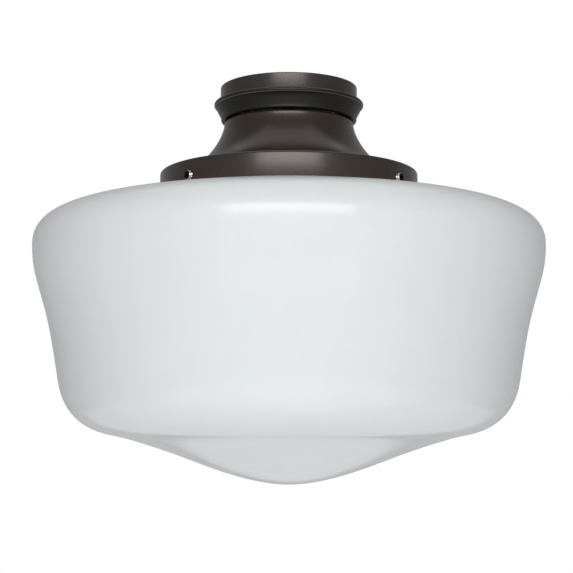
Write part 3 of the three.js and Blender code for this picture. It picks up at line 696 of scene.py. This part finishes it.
def make_lock_washer(node):
    """Split spring washer: one turn of flat wire with a slanting gap."""
    bottom, top = low(node).z, high(node).z
    steps, gap, slant = 84, math.radians(9), 0.09
    inner, outer, edge = 5.3, 8.4, 0.06
    section = [
        (inner, edge), (inner + edge, 0.0), (outer - edge, 0.0), (outer, edge),
        (outer, 1 - edge), (outer - edge, 1.0), (inner + edge, 1.0), (inner, 1 - edge),
    ]  # radius, and share of the washer's height
    points, faces = [], []
    for i in range(steps + 1):
        for r, share in section:
            angle = gap / 2 + (TAU - gap) * i / steps + slant * (share - 0.5)
            points.append((r * math.cos(angle), r * math.sin(angle), bottom + share * (top - bottom)))
    count = len(section)
    for i in range(steps):
        for k in range(count):
            j = (k + 1) % count
            faces.append((i * count + k, i * count + j, (i + 1) * count + j, (i + 1) * count + k))
    faces += [tuple(reversed(range(count))), tuple(range(steps * count, (steps + 1) * count))]
    piece(Build().add(points, faces), node, [ZINC])


# ---------- screws
PLATE_SCREW_R = 1.7
SMALL_SCREW_R = 1.5
HEAD_WIDTH = 1.9  # head's radius and height, as shares of the shank's radius
HEAD_HEIGHT = 1.3


def screw_build(shank_r, length, matrix):
    """Pan-head screw before its slot is cut, head up, its seat at level 0."""
    head_r, head_h = shank_r * HEAD_WIDTH, shank_r * HEAD_HEIGHT
    root_r, pitch = shank_r * 0.82, shank_r * 0.42
    crown = arc(head_r * 0.55, head_h * 0.45, head_r * 0.45, 12, 90, 5)
    side = [(r, min(z, head_h)) for r, z in [(head_r, 0.15), (head_r, head_h * 0.45)] + crown]
    rings = [(0, -length), (shank_r * 0.6, -length)] + thread_rings(root_r, shank_r, pitch, -length + 0.4, -0.1)
    rings += [(root_r, 0), (head_r - 0.15, 0)] + side + [(0, head_h)]
    return Build().spun(rings, SMALL, 0, matrix, closed=False)


def slotted(obj, matrix, half, depth, reach, height):
    """Cuts a screwdriver slot into a head whose top is at `height`."""
    end = reach * 1.2
    box = Build().prism([(-end, -half), (end, -half), (end, half), (-end, half)], height - depth, height + 1.0)
    mesh = box.mesh("cutter")
    mesh.transform(matrix_mm(matrix))
    cut(obj, mesh)
    obj.data.set_sharp_from_angle(angle=SMOOTH_ANGLE)


def make_screw(node, shank_r, seat, length, turn_deg, down=False):
    x, y = (low(node).x + high(node).x) / 2, (low(node).y + high(node).y) / 2
    matrix = Matrix.Translation((x, y, seat)) @ Matrix.Rotation(math.pi if down else 0, 4, "X")
    matrix = matrix @ Matrix.Rotation(math.radians(turn_deg), 4, "Z")
    obj = piece(screw_build(shank_r, length, matrix), node, [ZINC])
    head_h = shank_r * HEAD_HEIGHT
    slotted(obj, matrix, shank_r * 0.25, head_h * 0.5, shank_r * HEAD_WIDTH, head_h)


def make_screws():
    """Each stands at its own turn, as hand-driven screws do."""
    head_h = SMALL_SCREW_R * HEAD_HEIGHT
    for i in (1, 2, 3):
        node = f"plate_screw_{i}"
        seat = high("mounting_plate").z + TOUCH
        make_screw(node, PLATE_SCREW_R, seat, seat - low(node).z, 40 + 70 * i)
    for i in (1, 2, 3, 4):
        node = f"socket_screw_{i}"
        seat = high(node).z - head_h
        make_screw(node, SMALL_SCREW_R, seat, seat - low(node).z, 25 + 50 * i)
    for i in (1, 2):
        node = f"shield_screw_{i}"
        seat = low(node).z + head_h
        make_screw(node, SMALL_SCREW_R, seat, high(node).z - seat, 15 + 60 * i, down=True)


# ---------- socket bracket
def make_bracket():
    thickness, half, splay = 1.5, 14.0, 3.0
    top, end = high("socket_bracket").z, high("socket_bracket").x
    foot = low("socket_bracket").z + thickness
    width = high("socket_bracket").y - low("socket_bracket").y
    right = [
        (half, top, 2.0), (half + splay, foot, 1.0), (end, foot, 0.3), (end, foot - thickness, 0.3),
        (half + splay - thickness, foot - thickness, 2.3), (half - thickness, top - thickness, 0.8),
    ]
    outline = rounded(right + [(-x, z, fillet) for x, z, fillet in reversed(right)], 5)
    outline = outline if area(outline) > 0 else outline[::-1]
    build = Build().prism(outline, -width / 2, width / 2, 0.2, 0, Matrix.Rotation(math.pi / 2, 4, "X"))
    obj = piece(build, "socket_bracket", [ZINC])

    def hole(x, y, face, radius):
        return Matrix.Translation((x * MM, y * MM, (face - thickness / 2) * MM)), radius, 4

    holes = [hole(0, 0, top, NIPPLE_HOLE_R)]
    for x in (-SOCKET_X, SOCKET_X):
        holes += [hole(x, y, foot, SMALL_SCREW_R + TOUCH) for y in (-SOCKET_SCREW_Y, SOCKET_SCREW_Y)]
        holes.append(hole(x * 1.32, 0, foot, 1.6))  # spare hole near the foot's end
    drilled(obj, holes)


# ---------- sockets
SOCKET_R = 18.0
SOCKET_BORE_R = 14.8


def make_socket(number):
    node = f"socket_body_{number}"
    x = (low(node).x + high(node).x) / 2
    top, mouth = high(node).z, low(node).z
    bore_top = mouth + 29.0
    waist_r = SOCKET_R - 0.9  # floor of the groove round the body
    matrix = Matrix.Translation((x, 0, 0))
    rings = (
        [(0, top), (15.4, top)] + arc(15.4, top - 0.6, 0.6, 90, 0, 3)
        + [(16, top - 6.2)] + arc(17.3, top - 8.0, 0.7, 130, 0, 3)
        + arc(SOCKET_R - 0.5, mouth + 13.0, 0.5, 0, -60, 2) + arc(waist_r, mouth + 11.6, 0.3, 120, 180, 2)
        + arc(waist_r, mouth + 10.6, 0.3, 180, 240, 2) + arc(SOCKET_R - 0.5, mouth + 9.2, 0.5, 60, 0, 2)
        + arc(SOCKET_R - 1.6, mouth + 1.6, 1.6, 0, -90, 6)
        + arc(SOCKET_BORE_R + 0.8, mouth + 0.8, 0.8, -90, -180, 4)
        + [(SOCKET_BORE_R, bore_top), (0, bore_top)]
    )
    obj = piece(Build().spun(rings, MEDIUM, 0, matrix, closed=False), node, [PORCELAIN])
    drilled(obj, [(Matrix.Translation((x * MM, y * MM, top * MM)), SMALL_SCREW_R + TOUCH, 10.8)
                  for y in (-SOCKET_SCREW_Y, SOCKET_SCREW_Y)])
    make_screw_shell(number, matrix)
    make_contact(number, matrix)


def make_screw_shell(number, matrix):
    node = f"screw_shell_{number}"
    bottom, top = low(node).z, high(node).z
    wall, root_r, crest_r, mouth_r, hole_r = 0.45, 13.75, 14.5, 14.0, 5.0
    outer, inner = (thread_rings(root_r - skin, crest_r - skin, BASE_PITCH, bottom + 0.6, top - 1.2, 14, 0.5)
                    for skin in (0, wall))
    rings = [(mouth_r, bottom)] + outer + arc(13.0, top - 0.8, 0.8, 0, 90, 4) + [(hole_r, top)]
    rings += [(hole_r, top - wall), (12.6, top - wall)] + inner[::-1] + [(mouth_r - wall, bottom)]
    piece(Build().spun(rings, MEDIUM, 0, matrix), node, [BRASS])


def make_contact(number, matrix):
    """Sprung centre contact: a domed button on a folded strip."""
    node = f"centre_contact_{number}"
    bottom, top = low(node).z, high(node).z
    rings = [(0, top), (3.5, top), (3.6, top - 0.2), (3.5, top - 0.5)]
    rings += flowing([(3.0, top - 0.9, -60, 0, 0.6), (0.0, bottom, 180, 1.4, 0)], 8)
    piece(Build().spun(rings, SMALL, 0, matrix, closed=False), node, [BRASS])


# ---------- bulbs
BASE_R = 13.2
BULB_R = 24.0


def make_bulb(number):
    x = (low(f"bulb_glass_{number}").x + high(f"bulb_glass_{number}").x) / 2
    matrix = Matrix.Translation((x, 0, 0))
    make_bulb_tip(number, matrix)
    make_bulb_base(number, matrix)
    make_bulb_glass(number, matrix)


def make_bulb_tip(number, matrix):
    node = f"bulb_tip_{number}"
    bottom, top = low(node).z, high(node).z
    rings = [(0, bottom), (4.1, bottom)] + flowing([(4.1, bottom + 0.2, 80, 0, 0.5), (0, top, 180, 2.6, 0)], 8)
    piece(Build().spun(rings, SMALL, 0, matrix, closed=False), node, [NICKEL])


def make_bulb_base(number, matrix):
    node = f"bulb_base_{number}"
    bottom, top = low(node).z, high(node).z
    collar = (
        [(0, top), (4.6, top)] + arc(4.6, top - 0.4, 0.4, 90, 20, 2)
        + flowing([(5.2, top - 0.7, -20, 0, 1.5), (9.6, top - 2.5, -30, 1.5, 0)], 5)
    )
    build = Build().spun(collar + [(9.6, top - 2.6), (0, top - 2.6)], SMALL, 1, matrix, closed=False)
    skin = [(0, top - 2.7), (9.7, top - 2.7), (10.2, top - 2.5)] + arc(10.9, top - 4.0, 1.3, 85, 10, 4)
    skin += reversed(thread_rings(12.25, BASE_R, BASE_PITCH, bottom + 1.6, top - 4.2, 14, 0.5))
    skin += [(12.3, bottom + 1.4), (12.75, bottom + 0.9), (12.75, bottom), (0, bottom)]
    build.spun(skin, MEDIUM, 0, matrix, closed=False)
    piece(build, node, [NICKEL, BLACK_AND_SHADE])


def make_bulb_glass(number, matrix):
    node = f"bulb_glass_{number}"
    bottom, top = low(node).z, high(node).z
    centre = bottom + BULB_R
    rings = (
        [(0, top), (12.3, top)]
        + flowing([(12.6, top - 0.3, -90, 0, 6), (BULB_R, centre, -90, 22, 0)], 28)
        + arc(0, centre, BULB_R, -4, -86, 20) + [(0, bottom)]
    )
    piece(Build().spun(rings, MEDIUM, 0, matrix, closed=False), node, [DIFFUSER])


# ---------- heat shield
def make_shield():
    lo, hi = low("heat_shield"), high("heat_shield")
    outlines = [circle(0, 0, hi.x - 0.2, FINE)]
    outlines += [circle(x, 0, SOCKET_R + 1.0) for x in (-SOCKET_X, SOCKET_X)]
    outlines += [circle(0, y, SMALL_SCREW_R + TOUCH, SMALL) for y in (-SHIELD_BOLT_Y, SHIELD_BOLT_Y)]
    mesh = flat_sheet("heat_shield_skin", outlines, lo.z, hi.z, 0.15)
    piece(mesh, "heat_shield", [ALUMINIUM])


def make_stud(number):
    """Threaded post whose top is dressed to the flare that it hangs from."""
    node = f"shield_stud_{number}"
    lo, hi = low(node), high(node)
    y = (lo.y + hi.y) / 2
    underside = offset(neck_outline(), PAN_WALL + 0.35)

    def top(r):
        def at(angle):
            reach = math.hypot(r * math.cos(angle), y + r * math.sin(angle))
            for (r0, z0), (r1, z1) in zip(underside, underside[1:]):
                if r0 <= reach <= r1:
                    return r, z0 + (z1 - z0) * (reach - r0) / (r1 - r0)
            return r, hi.z
        return at

    bore_r, post_r, edge = 1.8, 3.5, 0.2
    rings = [(bore_r, lo.z + edge), (bore_r + edge, lo.z), (post_r - edge, lo.z), (post_r, lo.z + edge)]
    rings += [top(post_r), top(bore_r)]
    piece(Build().spun(rings, SMALL, 0, Matrix.Translation((0, y, 0))), node, [ZINC])


# ---------- glass shade and gasket
GLASS_NECK_R = 74.6
GLASS_NECK_HEIGHT = 12.0
GLASS_WALL = 3.2
GLASS_MAX_R = 156.0


def make_shade():
    top = high("glass_shade").z
    tip = low("glass_shade").z
    shoulder = top - GLASS_NECK_HEIGHT
    nodes = [  # radius, drop below the shoulder, heading, and the curve's handles before and after
        (GLASS_NECK_R, -1.6, -90, 0, 1.2),
        (GLASS_NECK_R + 2.4, 0.2, -3, 1.4, 15),
        (129.6, 8.7, -9.9, 14.8, 16.5),
        (GLASS_MAX_R, 30.5, -90, 12.1, 13.0),
        (GLASS_MAX_R - 7.25, 67.0, -106.5, 19.2, 17.5),
        (139.4, 113.5, -100, 10.7, 21.4),
        (106.9, 145.2, 190.6, 15.0, 11.2),
        (59.5, 160.2, 201, 17.8, 19.5),
        (0, shoulder - tip, 180, 19.8, 0),
    ]
    outside = flowing([(r, shoulder - drop, *rest) for r, drop, *rest in nodes], 16)
    inside = offset(outside, GLASS_WALL)
    outside[-1] = (0, outside[-1][1])
    inside[-1] = (0, inside[-1][1])
    lip = (
        arc(GLASS_NECK_R - GLASS_WALL + 1.2, top - 1.2, 1.2, 180, 90, 5)
        + arc(GLASS_NECK_R - 1.2, top - 1.2, 1.2, 90, 0, 5)
    )
    rings = inside[::-1] + lip + outside
    piece(Build().spun(rings, FINE, closed=False), "glass_shade", [OPAL])


def make_gasket():
    lo, hi = low("glass_gasket"), high("glass_gasket")
    inner, outer, fillet = GLASS_NECK_R - 6, hi.x, 0.4
    corners = [(inner, lo.z), (outer, lo.z), (outer, hi.z), (inner, hi.z)]
    rings = rounded([(r, z, fillet) for r, z in corners])
    piece(Build().spun(rings, FINE), "glass_gasket", [RUBBER])


# ---------- clamp screws and pads
def make_clamp(number, angle):
    """Socket set screw through the pan's cup, and the nylon pad on its tip."""
    place = Matrix.Rotation(math.radians(angle), 4, "Z") @ Matrix.Translation((0, 0, CLAMP_LEVEL))
    matrix = place @ Matrix.Rotation(math.pi / 2, 4, "Y")
    inner, outer = GLASS_NECK_R + 1.6, CUP_R + 1.5
    flats, recess, pitch = 3.0, 2.0, 1.0

    def hexed(level, scale=1.0):
        return lambda turn: (hex_radius(flats, turn) * scale, level)

    shank = thread_rings(2.62, CLAMP_SCREW_R, pitch, inner + 0.5, outer - 0.45)
    side = [(0, inner), (2.2, inner)] + shank + [(2.9, outer - 0.35), (2.5, outer)]
    # the end face and hex recess take the black as painted shade
    face = [(2.5, outer), (2.1, outer), hexed(outer - 0.25, 1.03), hexed(outer - recess)]
    face.append((0, outer - recess - 0.5))
    build = Build().spun(side, SMALL, 0, matrix, closed=False).spun(face, SMALL, 1, matrix, closed=False)
    piece(build, f"clamp_screw_{number}", [BRIGHT, BLACK_AND_SHADE])
    face_r = GLASS_NECK_R + TOUCH
    pad = (
        [(0, face_r)] + arc(2.25, face_r + 0.35, 0.35, -90, 0, 3) + arc(2.4, face_r + 0.8, 0.2, 0, 90, 2)
        + [(0, face_r + 1.0)]
    )
    piece(Build().spun(pad, SMALL, 0, matrix, closed=False), f"clamp_pad_{number}", [NYLON])


# ---------- wiring
WIRE_R = 1.1
CONNECTOR_Y = 25.0
CONNECTOR_R = 5.5
PLUG_HEIGHT = 7.0  # without its latch


def smooth_route(points, steps):
    """Centripetal Catmull-Rom curve through the points."""
    anchors = [Vector(p) for p in points]
    anchors = [2 * anchors[0] - anchors[1]] + anchors + [2 * anchors[-1] - anchors[-2]]
    route = []
    for p0, p1, p2, p3 in zip(anchors, anchors[1:], anchors[2:], anchors[3:]):
        t0 = 0.0
        t1 = t0 + math.sqrt((p1 - p0).length)
        t2 = t1 + math.sqrt((p2 - p1).length)
        t3 = t2 + math.sqrt((p3 - p2).length)
        for i in range(steps):
            t = t1 + (t2 - t1) * i / steps
            a1 = p0 * ((t1 - t) / (t1 - t0)) + p1 * ((t - t0) / (t1 - t0))
            a2 = p1 * ((t2 - t) / (t2 - t1)) + p2 * ((t - t1) / (t2 - t1))
            a3 = p2 * ((t3 - t) / (t3 - t2)) + p3 * ((t - t2) / (t3 - t2))
            b1 = a1 * ((t2 - t) / (t2 - t0)) + a2 * ((t - t0) / (t2 - t0))
            b2 = a2 * ((t3 - t) / (t3 - t1)) + a3 * ((t - t1) / (t3 - t1))
            route.append(b1 * ((t2 - t) / (t2 - t1)) + b2 * ((t - t1) / (t2 - t1)))
    route.append(anchors[-2])
    return route


def make_wire(node, anchors, material):
    """Insulated lead with bare copper showing at each end."""
    route = smooth_route(anchors, 8)
    sides = 20
    points, faces = [], []
    normal = (route[1] - route[0]).orthogonal().normalized()
    for i, here in enumerate(route):
        ahead = (route[min(i + 1, len(route) - 1)] - route[max(i - 1, 0)]).normalized()
        normal = (normal - ahead * normal.dot(ahead)).normalized()
        across = ahead.cross(normal)
        for k in range(sides):
            angle = TAU * k / sides
            points.append(here + (normal * math.cos(angle) + across * math.sin(angle)) * WIRE_R)
    for i in range(len(route) - 1):
        for k in range(sides):
            j = (k + 1) % sides
            faces.append((i * sides + k, i * sides + j, (i + 1) * sides + j, (i + 1) * sides + k))
    build = Build().add(points, faces)
    for end in (points[:sides], points[-sides:]):
        build.add(end, [tuple(range(sides))], 1)
    piece(build, node, [material, COPPER])


def make_connector(node):
    """Wing-less twist connector: ribbed skirt, tapered body, closed nose."""
    lo, hi = low(node), high(node)
    x, y = (lo.x + hi.x) / 2, (lo.y + hi.y) / 2
    top, length, radius = hi.z, hi.z - lo.z, CONNECTOR_R

    def ribbed(r, depth, level):
        return lambda a: (r - depth * (0.5 - 0.5 * math.cos(18 * a)) ** 2, level)

    rings = [
        (0, top - 1.2), (3.6, top - 1.2), (4.1, top - 0.2), (4.6, top), (5.2, top), (radius, top - 0.4),
        (radius, top - 3.4), (radius - 0.3, top - 4.0), ribbed(radius - 0.35, 0.0, top - 4.3),
        ribbed(radius - 0.5, 0.45, top - 5.2), ribbed(radius - 1.0, 0.5, top - length * 0.5),
        ribbed(radius - 2.0, 0.45, top - length + 3.0), ribbed(radius - 2.3, 0.1, top - length + 1.8),
        (radius - 2.9, top - length + 0.6), (radius - 3.9, top - length), (0, top - length),
    ]
    piece(Build().spun(rings, MEDIUM + 48, 0, Matrix.Translation((x, y, 0)), closed=False), node, [ORANGE])


def make_wiring():
    connector_top = high("wire_connector_black").z
    nipple_top, nipple_bottom = high("threaded_nipple").z, low("threaded_nipple").z
    plug_low = low("fan_plug")
    plug_level = plug_low.z + PLUG_HEIGHT / 2
    socket_top = high("socket_body_1").z
    reach = (SOCKET_R + WIRE_R + TOUCH) * math.sqrt(0.5)
    spread = 2.0
    for pole, side, material in (("black", -1, BLACK_WIRE), ("white", 1, WHITE_WIRE)):
        y = side * CONNECTOR_Y
        lane = side * 1.35
        make_connector(f"wire_connector_{pole}")
        make_wire(f"supply_lead_{pole}", [
            (lane * 1.8, plug_low.y - TOUCH, plug_level), (lane * 1.6, plug_low.y - 4, plug_level + 1.0),
            (lane * 1.1, plug_low.y - 10, nipple_top + 3.0), (lane, 3.5, nipple_top + 4.4),
            (lane, 0.4, nipple_top + 1.5), (lane, 0, nipple_top - 4),
            (lane, 0, (nipple_top + nipple_bottom) / 2), (lane, 0, nipple_bottom + 2),
            (lane, side * 1.5, nipple_bottom - 4), (lane, side * 9, nipple_bottom - 5.5),
            (lane * 0.7, side * 16, connector_top + 5.5), (0, y - side * 4.5, connector_top + 6.2),
            (0, y - side * spread, connector_top + 3.2), (0, y - side * spread, connector_top + TOUCH),
        ], material)
        for number, end in ((1, -1), (2, 1)):
            start_x = end * (SOCKET_X - reach)
            make_wire(f"socket_lead_{pole}_{number}", [
                (start_x, side * reach, socket_top - 8), (start_x, side * reach, socket_top - 3),
                (start_x - end * 0.5, side * (reach + 2), socket_top + 4),
                (end * 9, side * 21, connector_top + 2), (end * 4.6, side * 25, connector_top + 6.5),
                (end * spread * 1.1, y + side, connector_top + 4.5),
                (end * spread, y + side, connector_top + TOUCH),
            ], material)


def make_plug():
    """Two-way plug housing with a latch on top and two pin openings."""
    lo, hi = low("fan_plug"), high("fan_plug")
    x, y = (lo.x + hi.x) / 2, (lo.y + hi.y) / 2
    place = Matrix.Translation((x, y, 0))

    def block(half_x, half_y, fillet, steps):
        corners = [(half_x, half_y), (-half_x, half_y), (-half_x, -half_y), (half_x, -half_y)]
        return rounded([(*corner, fillet) for corner in corners], steps)

    body = block((hi.x - lo.x) / 2, (hi.y - lo.y) / 2, 0.8, 4)
    build = Build().prism(body, lo.z, lo.z + PLUG_HEIGHT, 0.3, 0, place)
    build.prism(block(2.4, 2.7, 0.5, 3), lo.z + PLUG_HEIGHT - 0.2, hi.z, 0.25, 0, place)
    obj = piece(build, "fan_plug", [NYLON])
    level = lo.z + PLUG_HEIGHT / 2
    tilt = Matrix.Rotation(math.pi / 2, 4, "X")
    drilled(obj, [(Matrix.Translation(((x + offset_x) * MM, hi.y * MM, level * MM)) @ tilt, 1.7, 6)
                  for offset_x in (-3.3, 3.3)])


# ---------- make everything
make_collar()
make_plate()
make_pan()
make_nipple()
for place in ("upper", "lower"):
    make_nut(f"{place}_locknut")
    make_lock_washer(f"{place}_lock_washer")
make_screws()
make_bracket()
for index in (1, 2):
    make_socket(index)
    make_bulb(index)
    make_stud(index)
make_shield()
make_shade()
make_gasket()
for index, clamp_angle in enumerate(CLAMP_ANGLES, 1):
    make_clamp(index, clamp_angle)
make_wiring()
make_plug()


# ---------- studio
SURROUND = 0.5  # strength of the soft surround
FLOOR_LEVEL = -0.9


def make_world():
    """White where the camera sees it; where it lights, brighter in front and dimmer at the sides."""
    world = bpy.data.worlds.new("studio")
    world.use_nodes = True
    bpy.context.scene.world = world
    tree = world.node_tree
    lit = tree.nodes["Background"]
    seen = tree.nodes.new("ShaderNodeBackground")
    seen.inputs["Color"].default_value = (1, 1, 1, 1)
    lit.inputs["Color"].default_value = (0.98, 0.99, 1.0, 1)
    direction = tree.nodes.new("ShaderNodeTexCoord")
    parts = tree.nodes.new("ShaderNodeSeparateXYZ")
    tree.links.new(direction.outputs["Generated"], parts.inputs["Vector"])
    front = span(tree, parts.outputs["Y"], SURROUND * 1.35, SURROUND * 0.8, -1.0, 0.0)
    sideways = span(tree, math_node(tree, "ABSOLUTE", parts.outputs["X"]), 1.0, 0.62, 0.3, 1.0)
    upward = span(tree, parts.outputs["Z"], 1.0, 0.5, 0.2, 0.8)
    strength = math_node(tree, "MULTIPLY", math_node(tree, "MULTIPLY", front, sideways), upward)
    tree.links.new(strength, lit.inputs["Strength"])
    path = tree.nodes.new("ShaderNodeLightPath")
    mixer = tree.nodes.new("ShaderNodeMixShader")
    tree.links.new(path.outputs["Is Camera Ray"], mixer.inputs["Fac"])
    tree.links.new(lit.outputs["Background"], mixer.inputs[1])
    tree.links.new(seen.outputs["Background"], mixer.inputs[2])
    tree.links.new(mixer.outputs["Shader"], tree.nodes["World Output"].inputs["Surface"])


def make_floor():
    """Pale round floor well below the hanging kit."""
    material = moulded_material("studio_floor", (0.80, 0.80, 0.80), (0.86, 0.86, 0.86), 0.7, 40, 0.0001)
    radius, top, thickness = 2400, FLOOR_LEVEL / MM, 10
    outline = [(0, top), (radius, top), (radius, top - thickness), (0, top - thickness)]
    mesh = Build().spun(outline, SMALL, closed=False).mesh("floor")
    mesh.materials.append(material)
    floor = bpy.data.objects.new("floor", mesh)
    bpy.context.scene.collection.objects.link(floor)


def make_light(name, place, aim, width, height, radiance):
    """Soft panel that faces a point; its power follows from its size."""
    light = bpy.data.lights.new(name, "AREA")
    light.shape = "RECTANGLE"
    light.size, light.size_y = width, height
    light.energy = radiance * math.pi * width * height
    obj = bpy.data.objects.new(name, light)
    obj.location = place
    obj.rotation_euler = (Vector(aim) - Vector(place)).to_track_quat("-Z", "Y").to_euler()
    bpy.context.scene.collection.objects.link(obj)


bpy.context.scene.view_settings.view_transform = "Standard"
make_world()
make_floor()
make_light("front_panel", (0, -1.5, 0.36), (0, 0, -0.06), 1.5, 0.5, 4.0)
make_light("top_panel", (0, 0.15, 1.1), (0, 0, -0.1), 1.3, 1.3, 0.55)
make_light("low_front_panel", (0, -1.0, FLOOR_LEVEL + 0.03), (0, -1.0, 0), 2.0, 1.5, 0.62)
make_light("low_rear_panel", (0, 0.75, FLOOR_LEVEL + 0.02), (0, 0.75, 0), 2.4, 1.6, 0.42)
